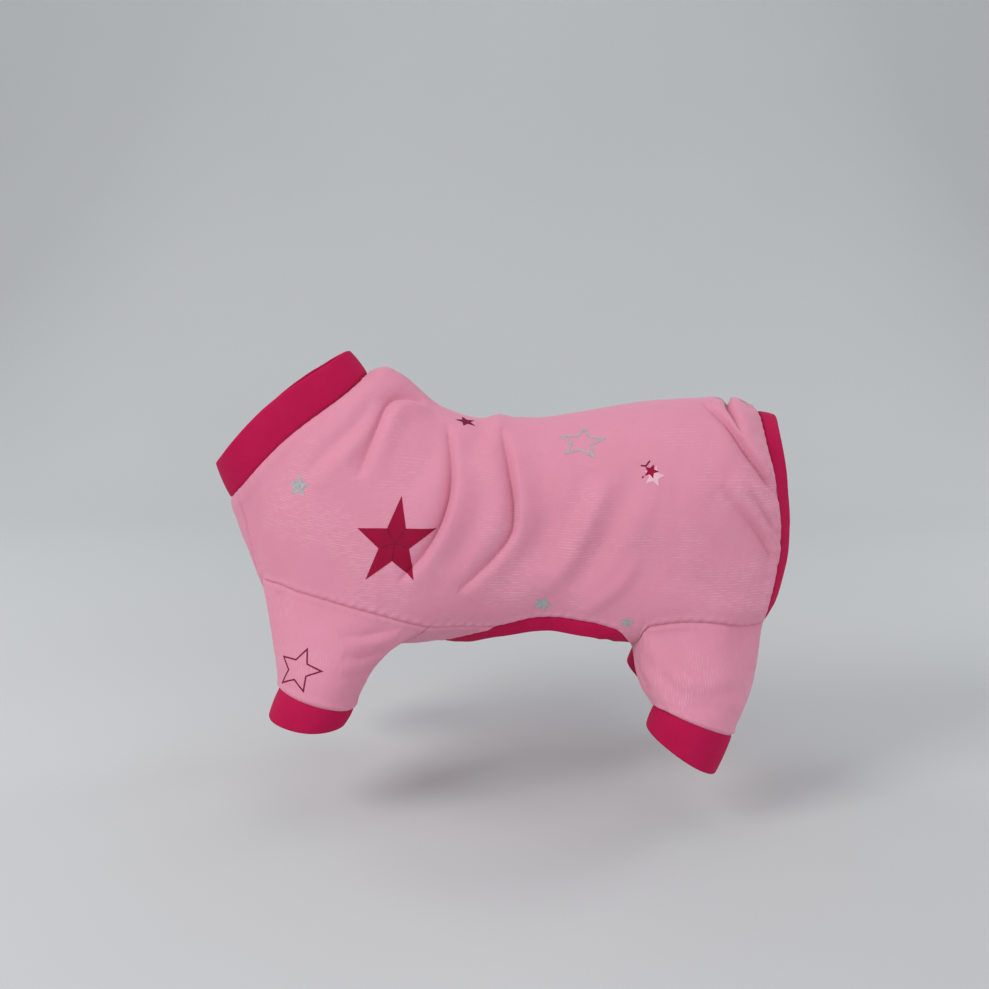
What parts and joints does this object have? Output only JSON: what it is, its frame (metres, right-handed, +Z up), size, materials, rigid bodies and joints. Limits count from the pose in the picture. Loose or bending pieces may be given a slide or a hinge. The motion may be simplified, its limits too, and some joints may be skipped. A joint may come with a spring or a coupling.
{
  "type": "dog jumpsuit",
  "caption": "Dog's stretch jersey jumpsuit, shown worn: body open under the belly and at the tail, short sleeves, ribbed neck band, cuffs and binding.",
  "frame": {"origin": "on the inner face of the back panel, on the midline, where the garment lies on the wearer's back between the legs", "axes": "+Z up, +X from the neck towards the tail, +Y towards the wearer's right side"},
  "size_m": [0.3602, 0.1702, 0.2554],
  "materials": {
    "jersey": "light pink cotton jersey, matt, with printed stars",
    "rib": "magenta rib knit, matt, folded double"
  },
  "bodies": {
    "root": {"back_panel": "jersey", "chest_panel": "jersey", "front_sleeve_left": "jersey", "front_sleeve_right": "jersey", "hind_sleeve_left": "jersey", "hind_sleeve_right": "jersey", "neck_band": "rib", "front_cuff_left": "rib", "front_cuff_right": "rib", "hind_cuff_left": "rib", "hind_cuff_right": "rib", "opening_binding": "rib"}
  },
  "joints": []
}
